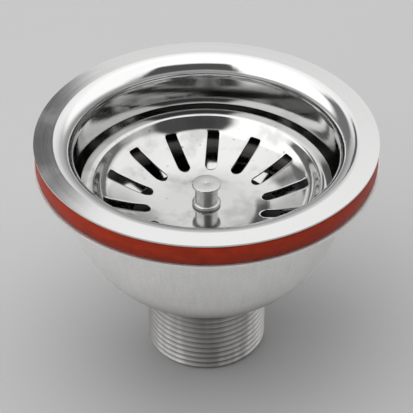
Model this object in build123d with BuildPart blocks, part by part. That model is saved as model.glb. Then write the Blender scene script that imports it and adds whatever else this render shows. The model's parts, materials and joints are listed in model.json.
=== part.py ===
from build123d import *

import os

# Sink waste coupling: flange and cup over the sink, bowl and threaded tail under it, strainer basket in the cup.
# Millimetres. The origin is at the centre of the tail's open end, the axis is +Z, and the flange is on top.

# Upper flange and cup, drawn from one sheet
cup_sheet = 0.6
cup_r = 44.4  # inside of the cup's wall
flange_width = 13.1  # inside of the cup's wall to the flange's edge
lip_roll = 6.6  # radius of the roll from the flange down into the cup
cup_depth = 34.6  # flange top to the cup's floor
floor_r = 27.0  # flat part of the cup's floor
floor_rise = 4.6  # how far the floor climbs from its flat part to the wall
corner_round = 6.0
hub_r = 12.6  # recess for the clamp screw's head
hub_depth = 6.4
drain_count = 10
drain_r = 4.4
drain_circle_r = 19.6

# Sealing washer
washer_inset = 0.1  # flange's edge to the washer's edge
washer_thickness = 7.4
washer_gap = 0.3  # between the cup's wall and the washer's hole

# Lower bowl, drawn from one sheet
bowl_flange_out = 0.4  # how far the bowl's flange stands out past the upper one
bowl_sheet = 0.9
neck_gap = 0.5  # between the cup's wall and the bowl's neck
neck_round = 2.4
belly_out = 1.4  # how far the belly stands out from the neck
belly_drop = 11.7  # bowl's seat down to the belly
sump_depth = 17.3  # under the cup's hub down to the bowl's outlet

# Threaded tail, a pipe welded into the bowl's outlet
tail_below = 27.8  # open end up to the bowl's outlet
tail_inside = 1.4  # how far the tail stands up into the bowl
tail_wall = 1.876  # thread's root in to the bore
thread_r = 20.955  # crest of an inch and a quarter parallel pipe thread
thread_pitch = 2.309
thread_depth = 1.479
thread_turns = 10
thread_end_chamfer = 0.6

# Bridge, nut and clamp screw
bar_width = 18.0
bar_thickness = 3.0
bar_rise = 5.9  # bowl's outlet up to the bar's underside
shank_r = 6.0
shank_gap = 0.3  # between the shank and the holes in the cup and the bar
shank_end = 1.0  # how far the shank ends above the nut's underside
nut_flats = 19.0
nut_height = 9.0
head_flats = 17.0
head_height = 4.0
head_chamfer = 0.5
screw_seal_thickness = 1.5
screw_seal_r = 10.5

# Strainer basket, pressed from one sheet
basket_sheet = 0.6
rim_gap = 1.7  # between the rim and the cup's wall
rim_width = 4.4
wall_run = 2.8  # how far the steep wall under the rim reaches inward
wall_rise = 4.5
wall_round = 14.0
dish_run = 14.9  # foot of the steep wall in to the flat floor
dish_rise = 5.4  # flat floor up to the foot of the steep wall
dish_round = 16.0
slot_count = 14
slot_width = 4.3
slot_inset = 0.8  # flat floor's edge to the centre of a slot's round inner end
slot_margin = 0.3  # a slot's square outer end to the foot of the steep wall
slot_corner = 0.7
slot_turn = 85.8  # one slot's bearing, anticlockwise from +X

# Lift pin
knob_r = 4.89
knob_thickness = 1.0
knob_chamfer = 0.35
pin_r = 3.88
pin_height = 8.9  # dish floor up to the top of the knob
bead_r = 4.88
bead_height = 1.6
spigot_r = 2.5
spigot_length = 8.5  # dish floor down to the spigot's end
spigot_gap = 0.1

# Plug seal, stem and grip ring
seal_r = 25.5
seal_height = 5.1  # lip up to the dish
seal_hub_thickness = 2.6
seal_hub_r = 10.5
seal_lip = 1.2
seat_gap = 0.3  # between the lip and the cup's floor with the basket down
stem_flange_r = 9.5
stem_flange_thickness = 1.2
stem_r = 3.7
stem_length = 17.0  # below its flange
stem_bore_gap = 0.3  # between the stem and the clamp screw's bore
ring_thickness = 1.8
ring_drop = 11.0  # stem flange down to the grip ring
ring_gap = 0.05  # running fit of the grip ring in the screw's bore

# Heights and radii that follow from the sizes above
outlet_z = tail_below
hub_z = outlet_z + sump_depth + cup_sheet
floor_z = hub_z + hub_depth
top_z = floor_z + cup_depth
flange_r = cup_r + flange_width
cup_outer_r = cup_r + cup_sheet
washer_r = flange_r - washer_inset
bowl_flange_r = flange_r + bowl_flange_out
washer_top_z = top_z - cup_sheet
bowl_seat_z = washer_top_z - washer_thickness
neck_r = cup_outer_r + neck_gap
outlet_r = thread_r - thread_depth
tail_bore_r = outlet_r - tail_wall
bar_z = outlet_z + bar_rise
nut_z = bar_z - nut_height
bore_r = stem_r + stem_bore_gap
hole_r = shank_r + shank_gap
head_z = hub_z + screw_seal_thickness
dish_z = floor_z + seat_gap + seal_height + basket_sheet
rim_r = cup_r - rim_gap
crease_r = rim_r - rim_width
foot_r = crease_r - wall_run
dish_floor_r = foot_r - dish_run
crease_z = dish_z + dish_rise + wall_rise
slot_inner_r = dish_floor_r + slot_inset
slot_outer_r = foot_r - slot_margin
stem_z = dish_z - basket_sheet - seal_hub_thickness - stem_flange_thickness
ring_z = stem_z - ring_drop
ring_r = bore_r - ring_gap - ring_thickness / 2

# Flange and cup
with BuildPart() as flange_cup:
    with BuildSketch(Plane.XZ):
        with BuildLine():
            FilletPolyline(
                (flange_r, top_z),
                (cup_r, top_z),
                (cup_r, floor_z + floor_rise),
                (floor_r, floor_z),
                radius=[lip_roll, corner_round],
            )
            Polyline((floor_r, floor_z), (hub_r, floor_z), (hub_r, hub_z), (hole_r, hub_z))
            offset(amount=cup_sheet, kind=Kind.INTERSECTION, side=Side.LEFT)
        make_face()
    revolve(axis=Axis.Z)
    with BuildSketch(Plane.XY.offset(floor_z)):
        with PolarLocations(drain_circle_r, drain_count):
            Circle(drain_r)
    extrude(amount=cup_sheet, both=True, mode=Mode.SUBTRACT)
flange_cup.part.label = "flange_cup"

# Sealing washer
with BuildPart() as sealing_washer:
    with BuildSketch(Plane.XY.offset(bowl_seat_z)):
        Circle(washer_r)
        Circle(cup_outer_r + washer_gap, mode=Mode.SUBTRACT)
    extrude(amount=washer_thickness)
    top_rims = sealing_washer.faces().sort_by(Axis.Z)[-1].edges()
    fillet(top_rims.sort_by(SortBy.RADIUS)[0], radius=lip_roll - cup_sheet - washer_gap)
sealing_washer.part.label = "sealing_washer"

# Lower bowl
belly = (neck_r + belly_out, bowl_seat_z - belly_drop)
with BuildPart() as lower_bowl:
    with BuildSketch(Plane.XZ):
        with BuildLine() as bowl_line:
            Line((bowl_flange_r, bowl_seat_z), (neck_r, bowl_seat_z))
            ThreePointArc((neck_r, bowl_seat_z), belly, (outlet_r, outlet_z))
            fillet(bowl_line.vertices().sort_by(Axis.X)[1], radius=neck_round)
            offset(amount=bowl_sheet, side=Side.LEFT)
        make_face()
    revolve(axis=Axis.Z)
lower_bowl.part.label = "lower_bowl"

# Threaded tail, its thread as rings of the true pitch and depth
with BuildPart() as threaded_tail:
    with BuildSketch(Plane.XZ):
        with BuildLine():
            outline = [(tail_bore_r, 0), (outlet_r, 0)]
            for turn in range(thread_turns):
                root_z = turn * thread_pitch + thread_end_chamfer
                outline.append((outlet_r, root_z))
                outline.append((thread_r, root_z + 0.42 * thread_pitch))
                outline.append((thread_r, root_z + 0.58 * thread_pitch))
            outline.append((outlet_r, thread_turns * thread_pitch + thread_end_chamfer))
            outline.append((outlet_r, outlet_z + tail_inside))
            outline.append((tail_bore_r, outlet_z + tail_inside))
            Polyline(outline, close=True)
        make_face()
    revolve(axis=Axis.Z)
threaded_tail.part.label = "threaded_tail"

# Bridge bar, its ends shaped to the inside of the bowl
with BuildPart() as bridge_bar:
    with BuildSketch(Plane.XY.offset(bar_z)):
        Rectangle(2 * bowl_flange_r, bar_width)
        Circle(hole_r, mode=Mode.SUBTRACT)
    extrude(amount=bar_thickness)
    with BuildSketch(Plane.XZ):
        with BuildLine():
            bowl_inside = ThreePointArc((neck_r, bowl_seat_z), belly, (outlet_r, outlet_z))
            Polyline(bowl_inside @ 1, (0, outlet_z), (0, bowl_seat_z), bowl_inside @ 0)
        make_face()
    revolve(axis=Axis.Z, mode=Mode.INTERSECT)
bridge_bar.part.label = "bridge_bar"

# Bridge nut
with BuildPart() as bridge_nut:
    with BuildSketch(Plane.XY.offset(nut_z)):
        RegularPolygon(radius=nut_flats / 2, side_count=6, major_radius=False)
        Circle(shank_r, mode=Mode.SUBTRACT)
    extrude(amount=nut_height)
bridge_nut.part.label = "bridge_nut"

# Clamp screw
with BuildPart() as clamp_screw:
    with BuildSketch(Plane.XY.offset(head_z)):
        RegularPolygon(radius=head_flats / 2, side_count=6, major_radius=False)
    extrude(amount=head_height)
    chamfer(clamp_screw.faces().sort_by(Axis.Z)[-1].edges(), length=head_chamfer)
    with BuildSketch(Plane.XY.offset(nut_z + shank_end)):
        Circle(shank_r)
    extrude(until=Until.NEXT)
    with Locations((0, 0, head_z + head_height)):
        Hole(radius=bore_r)
clamp_screw.part.label = "clamp_screw"

# Washer under the clamp screw's head
with BuildPart() as screw_seal:
    with BuildSketch(Plane.XY.offset(hub_z)):
        Circle(screw_seal_r)
        Circle(hole_r, mode=Mode.SUBTRACT)
    extrude(amount=screw_seal_thickness)
screw_seal.part.label = "screw_seal"

# Strainer basket
with BuildPart() as strainer_basket:
    with BuildSketch(Plane.XZ):
        with BuildLine():
            dish_line = FilletPolyline(
                (spigot_r + spigot_gap, dish_z),
                (dish_floor_r, dish_z),
                (foot_r, dish_z + dish_rise),
                (crease_r, crease_z),
                radius=[dish_round, wall_round],
            )
            TangentArc((crease_r, crease_z), (rim_r, crease_z), tangent=dish_line % 1)
            offset(amount=basket_sheet, side=Side.RIGHT)
        make_face()
    revolve(axis=Axis.Z)
    with BuildSketch(Plane.XY.offset(dish_z - 2 * basket_sheet)) as slots:
        with PolarLocations(0, slot_count, start_angle=slot_turn):
            with Locations(((slot_inner_r + slot_outer_r) / 2, 0)):
                Rectangle(slot_outer_r - slot_inner_r, slot_width)
            with Locations((slot_inner_r, 0)):
                Circle(slot_width / 2)
        outer_corners = slots.vertices().filter_by(lambda v: v.X**2 + v.Y**2 > slot_outer_r**2)
        fillet(outer_corners, radius=slot_corner)
    extrude(amount=dish_rise + wall_rise, mode=Mode.SUBTRACT)
strainer_basket.part.label = "strainer_basket"

# Lift pin
with BuildPart() as lift_pin:
    with BuildSketch(Plane.XZ):
        with BuildLine():
            knob_z = dish_z + pin_height
            Polyline(
                (0, dish_z - spigot_length),
                (spigot_r, dish_z - spigot_length),
                (spigot_r, dish_z),
                (bead_r - bead_height / 2, dish_z),
            )
            ThreePointArc(
                (bead_r - bead_height / 2, dish_z),
                (bead_r, dish_z + bead_height / 2),
                (bead_r - bead_height / 2, dish_z + bead_height),
            )
            Polyline(
                (bead_r - bead_height / 2, dish_z + bead_height),
                (pin_r, dish_z + bead_height),
                (pin_r, knob_z - knob_thickness),
                (knob_r, knob_z - knob_thickness),
                (knob_r, knob_z),
                (0, knob_z),
                (0, dish_z - spigot_length),
            )
        make_face()
    revolve(axis=Axis.Z)
    knob_edges = lift_pin.edges().filter_by(GeomType.CIRCLE).group_by(Axis.Z)[-1]
    chamfer(knob_edges, length=knob_chamfer)
lift_pin.part.label = "lift_pin"

# Plug seal
with BuildPart() as plug_seal:
    seal_top_z = dish_z - basket_sheet
    lip_z = floor_z + seat_gap
    with BuildSketch(Plane.XZ):
        with BuildLine():
            Polyline(
                (spigot_r + spigot_gap, seal_top_z),
                (seal_hub_r, seal_top_z),
                (seal_r, lip_z + seal_lip),
                (seal_r, lip_z),
                (seal_r - seal_lip, lip_z),
                (seal_hub_r, seal_top_z - seal_hub_thickness),
                (spigot_r + spigot_gap, seal_top_z - seal_hub_thickness),
                close=True,
            )
        make_face()
    revolve(axis=Axis.Z)
plug_seal.part.label = "plug_seal"

# Stem
with BuildPart() as stem:
    with BuildSketch(Plane.XY.offset(stem_z)):
        Circle(stem_flange_r)
    extrude(amount=stem_flange_thickness)
    with BuildSketch(Plane.XY.offset(stem_z)):
        Circle(stem_r)
    extrude(amount=-stem_length)
    with BuildSketch(Plane.XY.offset(dish_z - spigot_length)):
        Circle(spigot_r)
    extrude(until=Until.LAST, mode=Mode.SUBTRACT)
    with BuildSketch(Plane.XY.offset(ring_z - ring_thickness / 2)):
        Circle(stem_r)
        Circle(ring_r - ring_thickness / 2, mode=Mode.SUBTRACT)
    extrude(amount=ring_thickness, mode=Mode.SUBTRACT)
stem.part.label = "stem"

# Grip ring
with BuildPart() as grip_ring:
    with BuildSketch(Plane.XY.offset(ring_z - ring_thickness / 2)):
        Circle(ring_r + ring_thickness / 2)
        Circle(ring_r - ring_thickness / 2, mode=Mode.SUBTRACT)
    extrude(amount=ring_thickness)
grip_ring.part.label = "grip_ring"

pieces = [
    flange_cup,
    sealing_washer,
    lower_bowl,
    threaded_tail,
    bridge_bar,
    bridge_nut,
    clamp_screw,
    screw_seal,
    strainer_basket,
    lift_pin,
    plug_seal,
    stem,
    grip_ring,
]
os.makedirs("parts", exist_ok=True)
for piece in pieces:
    export_step(piece.part, f"parts/{piece.part.label}.step")
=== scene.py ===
import json
import math

import bmesh
import bpy
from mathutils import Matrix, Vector


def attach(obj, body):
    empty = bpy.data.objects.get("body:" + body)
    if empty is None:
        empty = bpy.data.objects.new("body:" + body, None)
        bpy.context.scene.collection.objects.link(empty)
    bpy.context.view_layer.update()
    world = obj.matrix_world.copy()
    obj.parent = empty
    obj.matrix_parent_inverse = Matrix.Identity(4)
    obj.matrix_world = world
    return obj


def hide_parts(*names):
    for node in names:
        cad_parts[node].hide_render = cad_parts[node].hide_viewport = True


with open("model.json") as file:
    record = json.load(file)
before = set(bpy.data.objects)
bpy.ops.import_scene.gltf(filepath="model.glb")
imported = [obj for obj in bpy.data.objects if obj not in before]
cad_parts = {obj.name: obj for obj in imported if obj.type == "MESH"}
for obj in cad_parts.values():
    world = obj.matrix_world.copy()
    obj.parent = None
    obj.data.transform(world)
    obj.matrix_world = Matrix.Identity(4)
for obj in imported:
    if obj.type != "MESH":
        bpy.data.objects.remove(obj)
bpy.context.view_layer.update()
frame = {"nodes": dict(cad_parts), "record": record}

MM = 0.001
FULL_TURN = 2 * math.pi
NEAR = 0.01  # millimetres within which a vertex counts as being at a place
WELD = 1e-4  # millimetres within which vertices become one

# Sizes of the coupling in millimetres, in the frame of its solids. A pair is a radius and a height.
WASHER_R = 57.4
WASHER_HOLE_R = 45.3
WASHER_TOP_Z = 86.1
WASHER_BOTTOM_Z = 78.7
WASHER_ROLL = 5.7
WASHER_EDGE = 1.0

OUTLET_R = 19.476
TAIL_BORE_R = 17.6
TAIL_TOP_Z = 29.2
NECK_LAP = 0.5
NECK_GAP = 0.02
THREAD_R = 20.955
THREAD_PITCH = 2.309
THREAD_START_Z = 0.6
THREAD_END_Z = 23.7
THREAD_TURNS = 13
ROOT_ROUND = 0.08
CREST_ROUND = 0.16

DISH_SHEET = 0.6
DISH_HOLE_R = 2.6
DISH_FLOOR = (20.6, 58.1)
DISH_FOOT = (35.4, 63.3)
DISH_SHOULDER = (38.5, 68.1)
DISH_CROWN = (40.6, 68.6)
DISH_EDGE = (42.7, 68.1)
FLOOR_ROUND = 40.0
FOOT_ROUND = 9.0
SHOULDER_ROUND = 1.4
CROWN_ROUND = 6.0
SLOTS = 14
SLOT_WIDTH = 4.3
SLOT_INNER_R = 21.4
SLOT_OUTER_R = 35.2
SLOT_BEARING = 85.8
SLOT_CORNER = 0.7
SLOT_SOFTENING = 0.17

PIN_R = 3.88
KNOB_R = 4.89
KNOB_Z = 67.0
KNOB_THICKNESS = 1.0
KNOB_TOP_EDGE = 0.3
KNOB_UNDER_EDGE = 0.2
DIMPLE_R = 0.45
DIMPLE_DEPTH = 0.3
DIMPLE_EDGE = 0.12
BEAD_R = 4.88
BEAD_HEIGHT = 1.6
SPIGOT_R = 2.5
SPIGOT_Z = 49.6

# The dish's grid: cells from one slot's middle to the next, and from a slot's middle to its edge, and the
# radii from where the grid begins to bend towards the slots to where it is round again
SECTOR = FULL_TURN / SLOTS
SECTOR_CELLS = 20
SLOT_HALF_CELLS = 4
CELL = SECTOR / SECTOR_CELLS
BEND_IN = 12.0
BEND_OUT = 38.0

# Where a finish or a painted shade changes, in metres: from the first number to the second
FLOOR_MIRROR_R = (0.033, 0.037)
FLOOR_WALL_Z = (0.0600, 0.0640)
CUP_INSIDE_Z = (0.0740, 0.0840)
BOWL_FOOT_Z = (0.029, 0.050)
THREAD_DEPTH_R = (0.0196, 0.0207)
# between these heights the washer's painted shade goes from dark to light
WASHER_SHADE_Z = (0.0785, 0.0835)

# Colours of the finishes, some of them painted shade
# the flange's grey colour is painted shade inside the cup and under the strainer
FLANGE_BRIGHT, FLANGE_SHADE = (0.65, 0.65, 0.647), (0.115, 0.108, 0.102)
# the dish's underside colour is painted shade
DISH_BRIGHT, DISH_UNDERSIDE_SHADE = (0.53, 0.53, 0.526), (0.10, 0.094, 0.089)
DISH_SPECK = (0.12, 0.116, 0.112)
# the bowl's dull colour is partly painted shade at its foot
BOWL_DULL_SHADED, BOWL_BRIGHT = (0.22, 0.213, 0.204), (0.95, 0.946, 0.936)
# the thread's root colour is painted shade, and the dark of its painted reflection streaks
THREAD_ROOT_SHADE, THREAD_CREST = (0.15, 0.145, 0.139), (0.58, 0.574, 0.566)
PIN_DULL, PIN_BRIGHT = (0.44, 0.44, 0.435), (0.58, 0.58, 0.57)
INNER_DULL, INNER_BRIGHT = (0.42, 0.42, 0.41), (0.56, 0.56, 0.55)
BRASS_DULL, BRASS_BRIGHT = (0.62, 0.44, 0.19), (0.80, 0.61, 0.30)
RED_DEEP, RED_BRIGHT = (0.15, 0.013, 0.006), (0.48, 0.036, 0.006)
BLACK_DEEP, BLACK_DUSTY = (0.012, 0.012, 0.012), (0.03, 0.029, 0.028)
FIBRE_DARK, FIBRE_LIGHT = (0.26, 0.08, 0.045), (0.44, 0.17, 0.10)
FLOOR_GREY = (0.37, 0.37, 0.37)

# The studio, in metres and degrees
FLOOR_HALF = 4
CAMERA_PLACE = (0, -0.46025, 0.41887)
CAMERA_TILT = 51.815
CAMERA_LENS = 148.66  # millimetres, as is the sensor
CAMERA_SENSOR = 36
CAMERA_NEAR = 0.01
LAMP_PLACE = Vector((-0.15, 0.05, 0.95))
LAMP_AIM = Vector((0, 0, 0.06))
LAMP_SIDE = 0.8
LAMP_BRIGHTNESS = 1.6

# The light tent: its glow at the horizon, and what is added from one sine of elevation to another
TENT_HORIZON = 0.35
TENT_STEPS = ((0.34, 0.05, 0.45), (0.62, 0.40, 0.68), (0.30, 0.65, 0.92))
# Its panels: azimuth and half width, lowest and highest elevation, brightness, and softness of the edges
TENT_PANELS = (
    (-106, 44, 13, 80, 2.0, 8),  # white, all along the left
    (72, 38, 22, 80, 1.5, 8),  # white, on the right
    (-9.5, 4.3, 26, 38.2, 0.14, 0.7),  # narrow and dark, at the back
    (-41, 13, 6, 46, 0.24, 4),  # grey, at the back to the left
    (165, 40, 20, 61, 0.11, 5),  # wide and dark, at the front
)


# Shaping

def to_piece(bm, name, body, node, sharp=32):
    """Makes a mesh drawn in millimetres a piece that rides on a body and stands for a solid."""
    bmesh.ops.scale(bm, vec=(MM, MM, MM), verts=bm.verts)
    mesh = bpy.data.meshes.new(name)
    bm.to_mesh(mesh)
    bm.free()
    mesh.polygons.foreach_set("use_smooth", [True] * len(mesh.polygons))
    mesh.set_sharp_from_angle(angle=math.radians(sharp))
    piece = bpy.data.objects.new(name, mesh)
    bpy.context.scene.collection.objects.link(piece)
    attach(piece, body)
    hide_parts(node)
    return piece


def spun(points, steps=192):
    """A closed outline of (radius, height) points turned once round the axis."""
    bm = bmesh.new()
    corners = [bm.verts.new((r, 0, z)) for r, z in points]
    lines = [bm.edges.new(pair) for pair in zip(corners, corners[1:] + corners[:1])]
    bmesh.ops.spin(
        bm, geom=corners + lines, cent=(0, 0, 0), axis=(0, 0, 1), angle=FULL_TURN, steps=steps,
        use_merge=True,
    )
    bmesh.ops.remove_doubles(bm, verts=bm.verts, dist=WELD)
    bmesh.ops.delete(bm, geom=[e for e in bm.edges if not e.link_faces], context="EDGES")
    bmesh.ops.recalc_face_normals(bm, faces=bm.faces)
    return bm


def soften(bm, r, z, width, segments=3):
    """Rounds the circular edge of radius r at height z, width back on each side."""
    ring = [
        e for e in bm.edges
        if all(abs(v.co.z - z) < NEAR and abs(v.co.xy.length - r) < NEAR for v in e.verts)
    ]
    bmesh.ops.bevel(
        bm, geom=ring, offset=width, offset_type="OFFSET", segments=segments, profile=0.5,
        affect="EDGES", material=-1, clamp_overlap=False,
    )


def share_of(value, none, whole):
    """0 where value is none, 1 where it is whole, and even between them."""
    return max(0.0, min(1.0, (value - none) / (whole - none)))


def spread(low, high, count):
    """Evenly spaced numbers from low, without high."""
    return [low + (high - low) * i / count for i in range(count)]


# Shader maths

class Signal:
    """A shader socket that takes part in Python expressions."""

    def __init__(self, nodes, socket):
        self.nodes = nodes
        self.socket = socket

    def maths(self, operation, *values):
        return self.nodes.node("ShaderNodeMath", {"operation": operation}, dict(enumerate(values)))

    def __add__(self, other):
        return self.maths("ADD", self, other)

    __radd__ = __add__

    def __sub__(self, other):
        return self.maths("SUBTRACT", self, other)

    def __rsub__(self, other):
        return self.maths("SUBTRACT", other, self)

    def __mul__(self, other):
        return self.maths("MULTIPLY", self, other)

    __rmul__ = __mul__

    def __pow__(self, other):
        return self.maths("POWER", self, other)

    def between(self, low, high):
        """0 up to low, 1 from high on, smooth between them."""
        return self.nodes.node(
            "ShaderNodeMapRange", {"interpolation_type": "SMOOTHSTEP"}, {0: self, 1: low, 2: high}
        )


class Nodes:
    """A node tree that is filled by Python expressions."""

    def __init__(self, owner):
        owner.use_nodes = True
        self.tree = owner.node_tree

    def set(self, node, socket, value):
        """Gives a node's socket a number, a colour or a link."""
        if isinstance(value, Signal):
            self.tree.links.new(value.socket, node.inputs[socket])
        else:
            node.inputs[socket].default_value = value

    def node(self, kind, settings, sockets, output=0):
        """A new node with its settings and sockets filled in, as a signal from one of its outputs."""
        node = self.tree.nodes.new(kind)
        for name, value in settings.items():
            setattr(node, name, value)
        for socket, value in sockets.items():
            self.set(node, socket, value)
        return Signal(self, node.outputs[output])

    def parted(self, vector):
        """The three numbers of a vector."""
        split = self.node("ShaderNodeSeparateXYZ", {}, {0: vector}).socket.node
        return [Signal(self, output) for output in split.outputs]


class Finish(Nodes):
    """A procedural material round one Principled shader."""

    def __init__(self, name, **uniform):
        self.material = bpy.data.materials.new(name)
        super().__init__(self.material)
        self.shader = self.tree.nodes["Principled BSDF"]
        self.surface(**uniform)

    def surface(self, **values):
        """Fills the shader's sockets, named with an underscore for each space."""
        for socket, value in values.items():
            self.set(self.shader, socket.replace("_", " "), value)
        return self.material

    def place(self):
        """Where a point is on its piece, in metres."""
        return self.node("ShaderNodeTexCoord", {}, {}, "Object")

    def facing_up(self):
        """How far a face looks up: 1 straight up, -1 straight down."""
        return self.parted(self.node("ShaderNodeTexCoord", {}, {}, "Normal"))[2]

    def axes(self):
        return self.parted(self.place())

    def height(self):
        return self.axes()[2]

    def radius(self):
        x, y, _ = self.axes()
        return (x * x + y * y) ** 0.5

    def lathe(self, stretch):
        """Coordinates for a pattern drawn out round the turning axis, without a seam."""
        x, y, z = self.axes()
        r = (x * x + y * y + 1e-9) ** 0.5
        round_axis = stretch * r ** -1
        return self.node("ShaderNodeCombineXYZ", {}, {0: x * round_axis, 1: y * round_axis, 2: r + 1.7 * z})

    def streaks(self, width, length):
        """Coordinates for a pattern drawn out down the sides."""
        x, y, z = self.axes()
        across = width * (x * x + y * y + 1e-9) ** -0.5
        return self.node("ShaderNodeCombineXYZ", {}, {0: x * across, 1: y * across, 2: length * z})

    def grain(self, where, scale, detail, roughness):
        """Noise between 0 and 1 at the coordinates where, of a scale, a number of octaves and a roughness."""
        return self.node(
            "ShaderNodeTexNoise", {},
            {"Vector": where, "Scale": scale, "Detail": detail, "Roughness": roughness},
        )

    def tint(self, amount, first, second):
        """The colour first where amount is 0, second where it is 1."""
        ends = [colour if isinstance(colour, Signal) else (*colour, 1) for colour in (first, second)]
        return self.node("ShaderNodeMix", {"data_type": "RGBA"}, {0: amount, 6: ends[0], 7: ends[1]}, 2)

    def relief(self, height, depth, strength):
        """Fine bumps that stand depth metres high where height is 1."""
        return self.node("ShaderNodeBump", {}, {"Strength": strength, "Distance": depth, "Height": height})


# Finishes

def polished_flange():
    """Mirror-polished sheet: faint turning marks, slow waves from the press and rubbed patches. It is painted a
    little greyer inside the cup, a painted shade, and under the strainer the cup's floor is rougher and painted
    dark outside its middle, a painted shade."""
    f = Finish("polished_steel", Metallic=1.0)
    marks = f.grain(f.lathe(0.0006), 2600, 4, 0.7)
    waves = f.grain(f.lathe(0.004), 110, 2, 0.4)
    rubbed = f.grain(f.place(), 55, 4, 0.6).between(0.45, 0.75)
    height = f.height()
    # painted shade: outside its middle, the cup's floor under the strainer is painted dark as well as made
    # rougher
    matt_shaded_floor = (1 - height.between(*FLOOR_WALL_Z)) * f.radius().between(*FLOOR_MIRROR_R)
    inside = 1 - height.between(*CUP_INSIDE_Z)
    # painted shade: the inside of the cup is painted a little darker
    grey = matt_shaded_floor + 0.22 * inside * (1 - matt_shaded_floor)
    grit = f.grain(f.place(), 1800, 3, 0.7)
    return f.surface(
        Base_Color=f.tint(grey + 0.12 * grit + 0.05 * marks - 0.08, FLANGE_BRIGHT, FLANGE_SHADE),
        Roughness=0.04 + 0.05 * rubbed + 0.05 * marks + 0.03 * grit + 0.2 * matt_shaded_floor,
        Normal=f.relief(waves + 0.06 * marks, 0.0002, 0.3),
    )


def pressed_dish():
    """The strainer's bright sheet: soft press waves, rubbed patches, faint smudges and small dark specks, and
    faces that look down painted dark, a painted shade."""
    f = Finish("basket_steel", Metallic=1.0)
    rubbed = f.grain(f.place(), 70, 5, 0.6).between(0.4, 0.8)
    specks = 0.7 * f.grain(f.place(), 620, 2, 0.5).between(0.70, 0.76)
    smudges = 0.30 * f.grain(f.place(), 95, 3, 0.5).between(0.48, 0.70)
    # painted shade: faces that look down get the dark underside colour
    sheet = f.tint(1 - f.facing_up().between(-0.5, 0.1), DISH_BRIGHT, DISH_UNDERSIDE_SHADE)
    waves = f.grain(f.place(), 60, 2, 0.4)
    marks = f.grain(f.lathe(0.0006), 1800, 3, 0.7)
    return f.surface(
        Base_Color=f.tint(specks + smudges, sheet, DISH_SPECK),
        Roughness=0.07 + 0.06 * rubbed + 0.04 * marks + 0.3 * specks,
        Normal=f.relief(waves + 0.06 * marks, 0.0003, 0.3),
    )


def satin_bowl():
    """Satin sheet: brushed round the axis, wiped down its sides, cloudy from handling, and painted darker
    towards its foot, a painted shade.
    """
    f = Finish("satin_steel", Metallic=0.82)
    marks = f.grain(f.lathe(0.0016), 1500, 4, 0.7)
    clouds = f.grain(f.place(), 40, 4, 0.6)
    streaked = f.grain(f.streaks(0.03, 0.12), 900, 4, 0.65)
    grit = f.grain(f.place(), 2200, 3, 0.7)
    # painted shade: the height term darkens the bowl towards its foot; clouds, streaks and grit are the sheet's
    # own tone
    tone_and_shade = 0.92 * f.height().between(*BOWL_FOOT_Z) + 0.25 * clouds + 0.20 * streaked + 0.45 * grit - 0.58
    return f.surface(
        Base_Color=f.tint(tone_and_shade, BOWL_DULL_SHADED, BOWL_BRIGHT),
        Roughness=0.34 + 0.1 * marks + 0.06 * clouds + 0.08 * streaked,
        Normal=f.relief(marks + 0.5 * grit, 0.00003, 0.8),
    )


def cut_thread():
    """The thread: turning marks along it, bright crests, roots painted darker, a painted shade, and dark
    streaks down it that are painted reflections.
    """
    f = Finish("threaded_steel", Metallic=0.55)
    # painted shade: the thread's roots get the dark colour, its crests the bright one
    crest = f.radius().between(*THREAD_DEPTH_R)
    marks = f.grain(f.lathe(0.0008), 3000, 3, 0.7)
    # painted reflection: dark streaks down the thread stand for dark things it mirrors
    streaked = f.grain(f.streaks(0.03, 0.15), 44, 3, 0.6).between(0.40, 0.62)
    return f.surface(
        Base_Color=f.tint((0.3 + 0.7 * crest) * (0.38 + 0.62 * streaked), THREAD_ROOT_SHADE, THREAD_CREST),
        Roughness=0.48 - 0.10 * crest + 0.12 * marks,
        Normal=f.relief(marks, 0.00002, 0.6),
    )


def turned_pin():
    """Turned bar: rings on its end faces and round its shank."""
    f = Finish("turned_steel", Metallic=1.0)
    marks = f.grain(f.lathe(0.0005), 4200, 2, 0.6)
    return f.surface(
        Base_Color=f.tint(marks, PIN_DULL, PIN_BRIGHT),
        Roughness=0.22 + 0.14 * marks,
        Normal=f.relief(marks, 0.00004, 0.8),
    )


def red_rubber():
    """Moulded red rubber, semi-matt and a little mottled, with a dusty bloom, and painted lighter towards its
    top face, a painted shade.
    """
    f = Finish("red_rubber", Specular_IOR_Level=0.15)
    mottle = f.grain(f.place(), 140, 5, 0.65)
    rubbed = f.grain(f.lathe(0.03), 420, 4, 0.65).between(0.42, 0.75)
    grit = f.grain(f.place(), 2500, 3, 0.7)
    # painted shade: the height term makes the washer lighter at the top and darker at the bottom; mottle,
    # rubbing and grit are its own tone
    tone_and_shade = 0.45 * mottle + 0.35 * rubbed + 0.35 * grit + 0.3 * f.height().between(*WASHER_SHADE_Z) - 0.28
    return f.surface(
        Base_Color=f.tint(tone_and_shade, RED_DEEP, RED_BRIGHT),
        Roughness=0.40 + 0.2 * rubbed,
        Normal=f.relief(mottle + 0.2 * grit, 0.0002, 0.5),
    )


def black_rubber():
    """Moulded black rubber of the plug seal and the grip ring."""
    f = Finish("black_rubber", Specular_IOR_Level=0.4)
    mottle = f.grain(f.place(), 300, 3, 0.6)
    return f.surface(
        Base_Color=f.tint(mottle, BLACK_DEEP, BLACK_DUSTY),
        Roughness=0.5 + 0.2 * mottle,
        Normal=f.relief(mottle, 0.00006, 0.4),
    )


def plain_steel():
    """Mill-finished steel of the bridge and its nut."""
    f = Finish("inner_steel", Metallic=1.0)
    marks = f.grain(f.place(), 500, 4, 0.6)
    return f.surface(
        Base_Color=f.tint(marks, INNER_DULL, INNER_BRIGHT),
        Roughness=0.32 + 0.2 * marks,
        Normal=f.relief(marks, 0.00003, 0.5),
    )


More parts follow.
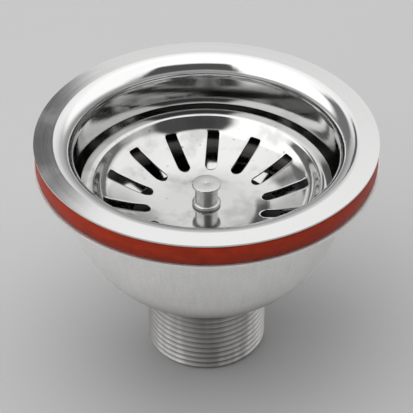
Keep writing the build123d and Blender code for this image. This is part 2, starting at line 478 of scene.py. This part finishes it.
def turned_brass():
    """Turned brass of the clamp screw."""
    f = Finish("brass", Metallic=1.0)
    marks = f.grain(f.lathe(0.0005), 3000, 3, 0.6)
    return f.surface(
        Base_Color=f.tint(marks, BRASS_DULL, BRASS_BRIGHT),
        Roughness=0.25 + 0.15 * marks,
        Normal=f.relief(marks, 0.00003, 0.6),
    )


def pressed_fibre():
    """Pressed fibre of the washer under the clamp screw's head."""
    f = Finish("fibre", Specular_IOR_Level=0.3)
    threads = f.grain(f.place(), 1500, 4, 0.7)
    return f.surface(
        Base_Color=f.tint(threads, FIBRE_DARK, FIBRE_LIGHT),
        Roughness=0.6 + 0.2 * threads,
        Normal=f.relief(threads, 0.00005, 0.5),
    )


# Pieces

def washer():
    """The red washer: rolled at its hole to follow the flange, its outer edges softened as a moulding's are."""
    bm = spun([
        (WASHER_HOLE_R, WASHER_TOP_Z), (WASHER_R, WASHER_TOP_Z),
        (WASHER_R, WASHER_BOTTOM_Z), (WASHER_HOLE_R, WASHER_BOTTOM_Z),
    ])
    soften(bm, WASHER_HOLE_R, WASHER_TOP_Z, WASHER_ROLL, 12)
    soften(bm, WASHER_R, WASHER_TOP_Z, WASHER_EDGE, 4)
    soften(bm, WASHER_R, WASHER_BOTTOM_Z, WASHER_EDGE, 4)
    return to_piece(bm, "rubber_washer", "waste_body", "sealing_washer")


def lift_knob():
    """The turned lift pin: knob with a centre dimple, shank, bead on the dish, and spigot."""
    knob_under = KNOB_Z - KNOB_THICKNESS
    bead_under = DISH_FLOOR[1]
    bead_top = bead_under + BEAD_HEIGHT
    bead_round = BEAD_HEIGHT / 2 - 0.01
    bm = spun([
        (0, SPIGOT_Z), (SPIGOT_R, SPIGOT_Z), (SPIGOT_R, bead_under), (BEAD_R, bead_under),
        (BEAD_R, bead_top), (PIN_R, bead_top), (PIN_R, knob_under), (KNOB_R, knob_under),
        (KNOB_R, KNOB_Z), (DIMPLE_R, KNOB_Z), (0, KNOB_Z - DIMPLE_DEPTH),
    ], steps=96)
    soften(bm, BEAD_R, bead_under, bead_round, 8)
    soften(bm, BEAD_R, bead_top, bead_round, 8)
    soften(bm, KNOB_R, KNOB_Z, KNOB_TOP_EDGE, 4)
    soften(bm, KNOB_R, knob_under, KNOB_UNDER_EDGE, 3)
    soften(bm, DIMPLE_R, KNOB_Z, DIMPLE_EDGE, 2)
    return to_piece(bm, "lift_knob", "strainer", "lift_pin")


def cut_square(bm, height, up, steps):
    """Cuts the wound thread off at a height, keeps the side away from up, and closes it round the bore."""
    cut = bmesh.ops.bisect_plane(
        bm, geom=[*bm.verts, *bm.edges, *bm.faces], plane_co=(0, 0, height), plane_no=(0, 0, up),
        clear_outer=True,
    )
    rim = [e for e in cut["geom_cut"] if isinstance(e, bmesh.types.BMEdge)]
    circle = bmesh.ops.create_circle(bm, radius=TAIL_BORE_R, segments=steps)["verts"]
    bmesh.ops.translate(bm, vec=(0, 0, height), verts=circle)
    bore = list({e for v in circle for e in v.link_edges})
    bmesh.ops.triangle_fill(bm, edges=rim + bore, normal=(0, 0, up), use_beauty=True)
    return bore


def thread():
    """The tail: one pitch of thread wound up the pipe and cut off square, with a plain neck above it."""
    steps = 96
    rise = THREAD_PITCH
    bm = bmesh.new()
    profile = [
        (OUTLET_R, 0.0), (OUTLET_R + ROOT_ROUND, 0.10 * rise), (THREAD_R - CREST_ROUND, 0.36 * rise),
        (THREAD_R, 0.44 * rise), (THREAD_R, 0.56 * rise), (THREAD_R - CREST_ROUND, 0.64 * rise),
        (OUTLET_R + ROOT_ROUND, 0.90 * rise), (OUTLET_R, rise),
    ]
    start = THREAD_START_Z - 2 * rise
    corners = [bm.verts.new((r, 0, z + start)) for r, z in profile]
    lines = [bm.edges.new(pair) for pair in zip(corners, corners[1:])]
    bmesh.ops.spin(
        bm, geom=corners + lines, cent=(0, 0, 0), axis=(0, 0, 1), dvec=(0, 0, rise / steps),
        angle=FULL_TURN * THREAD_TURNS, steps=steps * THREAD_TURNS,
    )
    bmesh.ops.remove_doubles(bm, verts=bm.verts, dist=10 * WELD)
    bore_edges = cut_square(bm, 0.0, -1, steps) + cut_square(bm, THREAD_END_Z, 1, steps)
    bmesh.ops.bridge_loops(bm, edges=bore_edges)
    bmesh.ops.recalc_face_normals(bm, faces=bm.faces)

    neck_start = THREAD_END_Z - NECK_LAP
    neck_r = OUTLET_R - NECK_GAP
    neck = spun([
        (TAIL_BORE_R, neck_start), (neck_r, neck_start), (neck_r, TAIL_TOP_Z), (TAIL_BORE_R, TAIL_TOP_Z),
    ])
    joined = bpy.data.meshes.new("neck")
    neck.to_mesh(joined)
    neck.free()
    bm.from_mesh(joined)
    bpy.data.meshes.remove(joined)
    return to_piece(bm, "tail_thread", "waste_body", "threaded_tail", sharp=50)


def rounded_corner(before, corner, after, radius):
    """A section's rounded corner: its arc's start, end, centre, radius, and side (1 hollow, -1 crowned)."""
    before, corner, after = Vector(before), Vector(corner), Vector(after)
    coming, going = (corner - before).normalized(), (after - corner).normalized()
    side = math.copysign(1, coming.cross(going))
    cut_back = radius * math.tan(coming.angle(going) / 2)
    start = corner - coming * cut_back
    centre = start + Vector((-coming.y, coming.x)) * radius * side
    return start, corner + going * cut_back, centre, radius, side


DISH_CORNERS = (
    rounded_corner((0.0, DISH_FLOOR[1]), DISH_FLOOR, DISH_FOOT, FLOOR_ROUND),
    rounded_corner(DISH_FLOOR, DISH_FOOT, DISH_SHOULDER, FOOT_ROUND),
    rounded_corner(DISH_FOOT, DISH_SHOULDER, DISH_CROWN, SHOULDER_ROUND),
    rounded_corner(DISH_SHOULDER, DISH_CROWN, DISH_EDGE, CROWN_ROUND),
)


def dish_height(r):
    """Height of the dish's upper face at radius r: floor, cone, steep wall and slightly crowned rim."""
    for start, end, centre, radius, side in DISH_CORNERS:
        if r < start.x:
            return start.y - (start.x - r) * (start.x - centre.x) / (centre.y - start.y)
        if r < end.x:
            return centre.y - side * math.sqrt(radius ** 2 - (r - centre.x) ** 2)
    return end.y + (r - end.x) * (end.x - centre.x) / (centre.y - end.y)


def slot_half_width(r):
    """Half a slot's width at radius r, less at its rounded outer corners."""
    into_corner = max(0.0, min(SLOT_CORNER, r - SLOT_OUTER_R + SLOT_CORNER))
    return SLOT_WIDTH / 2 - SLOT_CORNER + math.sqrt(SLOT_CORNER ** 2 - into_corner ** 2)


def dish_radii():
    """The radii of the dish's grid, closer together at the slots' corners and at the rim's shoulder."""
    shoulder_in, shoulder_out = DISH_SHOULDER[0] - 1, DISH_SHOULDER[0] + 1
    corner_arc = (0, 22.5, 45, 67.5)
    return (
        spread(DISH_HOLE_R, BEND_IN, 6)
        + spread(BEND_IN, SLOT_INNER_R, 10)
        + spread(SLOT_INNER_R, SLOT_OUTER_R - SLOT_CORNER, 22)
        + [SLOT_OUTER_R - SLOT_CORNER * (1 - math.sin(math.radians(a))) for a in corner_arc]
        + spread(SLOT_OUTER_R, shoulder_in, 8)
        + spread(shoulder_in, shoulder_out, 14)
        + spread(shoulder_out, DISH_EDGE[0], 9)
        + [DISH_EDGE[0]]
    )


def from_slot(point):
    """The bearing of the slot that is nearest to a point of the grid, and the point's bearing from there."""
    bearing = math.atan2(point.y, point.x)
    nearest = round(bearing / SECTOR) * SECTOR
    return nearest, bearing - nearest


def in_slot(middle):
    """Whether a cell of the grid with this middle is punched out."""
    if SLOT_INNER_R < middle.xy.length < SLOT_OUTER_R:
        return abs(from_slot(middle)[1]) < SLOT_HALF_CELLS * CELL
    return False


def pressed(flat):
    """Where a point of the flat grid goes in the pressed dish, so that the grid's lines follow the slots."""
    r = flat.xy.length
    nearest, offset = from_slot(flat)
    column = abs(offset) / CELL
    pull = share_of(r, BEND_IN, SLOT_INNER_R) * share_of(r, BEND_OUT, SLOT_OUTER_R)
    half = math.asin(slot_half_width(min(r, SLOT_OUTER_R)) / r)
    if column > SLOT_HALF_CELLS + NEAR:
        share = (column - SLOT_HALF_CELLS) / (SECTOR_CELLS / 2 - SLOT_HALF_CELLS)
        target = half + share * (SECTOR / 2 - half)
    elif r < SLOT_INNER_R + NEAR:
        turn = math.radians(90) * column / SLOT_HALF_CELLS
        end = Vector((
            SLOT_INNER_R - SLOT_WIDTH / 2 * math.cos(turn), SLOT_WIDTH / 2 * math.sin(turn)
        ))
        target = math.atan2(end.y, end.x)
        r = r + (end.length - SLOT_INNER_R) * pull
    else:
        target = half * column / SLOT_HALF_CELLS
    bearing = nearest + math.copysign(abs(offset) + (target - abs(offset)) * pull, offset)
    bearing += math.radians(SLOT_BEARING)
    return r * math.cos(bearing), r * math.sin(bearing), dish_height(r)


def strainer_dish():
    """The strainer: a flat ring of cells, punched, pressed to shape, given its thickness and softened."""
    bm = bmesh.new()
    chain = [bm.verts.new((r, 0, 0)) for r in dish_radii()]
    lines = [bm.edges.new(pair) for pair in zip(chain, chain[1:])]
    bmesh.ops.spin(
        bm, geom=chain + lines, cent=(0, 0, 0), axis=(0, 0, 1), angle=FULL_TURN,
        steps=SLOTS * SECTOR_CELLS, use_merge=True,
    )
    bmesh.ops.remove_doubles(bm, verts=bm.verts, dist=WELD)
    punched = [face for face in bm.faces if in_slot(face.calc_center_median())]
    bmesh.ops.delete(bm, geom=punched, context="FACES")
    for v in bm.verts:
        v.co = pressed(v.co)

    bmesh.ops.recalc_face_normals(bm, faces=bm.faces)
    if sum(f.normal.z for f in bm.faces) < 0:
        bmesh.ops.reverse_faces(bm, faces=bm.faces)
    bmesh.ops.solidify(bm, geom=list(bm.faces), thickness=DISH_SHEET)
    edges = [e for e in bm.edges if e.calc_face_angle(0) > math.radians(50)]
    bmesh.ops.bevel(
        bm, geom=edges, offset=SLOT_SOFTENING, offset_type="OFFSET", segments=2, profile=0.5,
        affect="EDGES", material=-1, clamp_overlap=True,
    )
    return to_piece(bm, "strainer_dish", "strainer", "strainer_basket", sharp=40)


# Studio

def softbox(name, centre, side, brightness):
    """A soft square light facing the part, which the metal doesn't mirror."""
    light = bpy.data.lights.new(name, "AREA")
    light.shape = "RECTANGLE"
    light.size = light.size_y = side
    light.energy = brightness * math.pi * side * side
    lamp = bpy.data.objects.new(name, light)
    bpy.context.scene.collection.objects.link(lamp)
    lamp.location = centre
    lamp.rotation_euler = (LAMP_AIM - centre).to_track_quat("-Z", "Y").to_euler()
    lamp.visible_glossy = False


def sine(degrees):
    return math.sin(math.radians(degrees))


def cosine(degrees):
    return math.cos(math.radians(degrees))


def light_tent():
    """A plain light tent, by direction: azimuth from +Y towards +X, elevation from the floor, in degrees."""
    world = bpy.data.worlds.new("light_tent")
    bpy.context.scene.world = world
    tent = Nodes(world)
    x, y, z = tent.parted(tent.node("ShaderNodeTexCoord", {}, {}, "Generated"))
    flat = (x * x + y * y + 1e-6) ** -0.5
    glow = TENT_HORIZON
    for more, low, high in TENT_STEPS:
        glow = glow + more * z.between(low, high)
    for azimuth, half_width, low, high, brightness, soft in TENT_PANELS:
        facing = (x * sine(azimuth) + y * cosine(azimuth)) * flat
        across = facing.between(cosine(half_width + soft), cosine(half_width - soft))
        above = z.between(sine(low - soft), sine(low + soft))
        below = 1 - z.between(sine(high - soft), sine(high + soft))
        glow = glow + across * above * below * (brightness - glow)
    tent.set(tent.tree.nodes["Background"], "Color", glow)


def floor():
    """The plain pale floor that the part stands on."""
    bm = bmesh.new()
    bmesh.ops.create_grid(bm, x_segments=1, y_segments=1, size=FLOOR_HALF)
    mesh = bpy.data.meshes.new("studio_floor")
    bm.to_mesh(mesh)
    bm.free()
    ground = bpy.data.objects.new("studio_floor", mesh)
    bpy.context.scene.collection.objects.link(ground)
    paint = Finish("studio_floor", Base_Color=(*FLOOR_GREY, 1), Roughness=0.7)
    mesh.materials.append(paint.material)


def camera():
    """The camera at the photograph's angle, looking down at the part from -Y."""
    data = bpy.data.cameras.new("camera")
    data.lens = CAMERA_LENS
    data.sensor_width = CAMERA_SENSOR
    data.clip_start = CAMERA_NEAR
    eye = bpy.data.objects.new("camera", data)
    bpy.context.scene.collection.objects.link(eye)
    eye.location = CAMERA_PLACE
    eye.rotation_euler = (math.radians(CAMERA_TILT), 0, 0)
    bpy.context.scene.camera = eye


camera()

finishes = {
    "polished_steel": polished_flange(),
    "basket_steel": pressed_dish(),
    "satin_steel": satin_bowl(),
    "turned_steel": turned_pin(),
    "inner_steel": plain_steel(),
    "brass": turned_brass(),
    "red_rubber": red_rubber(),
    "black_rubber": black_rubber(),
    "fibre": pressed_fibre(),
}
for subpart in frame["record"]["subparts"]:
    for slot in frame["nodes"][subpart["node"]].material_slots:
        slot.material = finishes[subpart["material_slot"]]

pieces = [
    (washer(), "red_rubber", finishes["red_rubber"]),
    (lift_knob(), "turned_steel", finishes["turned_steel"]),
    (thread(), "satin_steel", cut_thread()),
    (strainer_dish(), "basket_steel", finishes["basket_steel"]),
]
for piece, slot, material in pieces:
    piece.data.materials.append(material)

floor()
light_tent()
softbox("overhead", LAMP_PLACE, LAMP_SIDE, LAMP_BRIGHTNESS)
bpy.context.scene.view_settings.view_transform = "Standard"
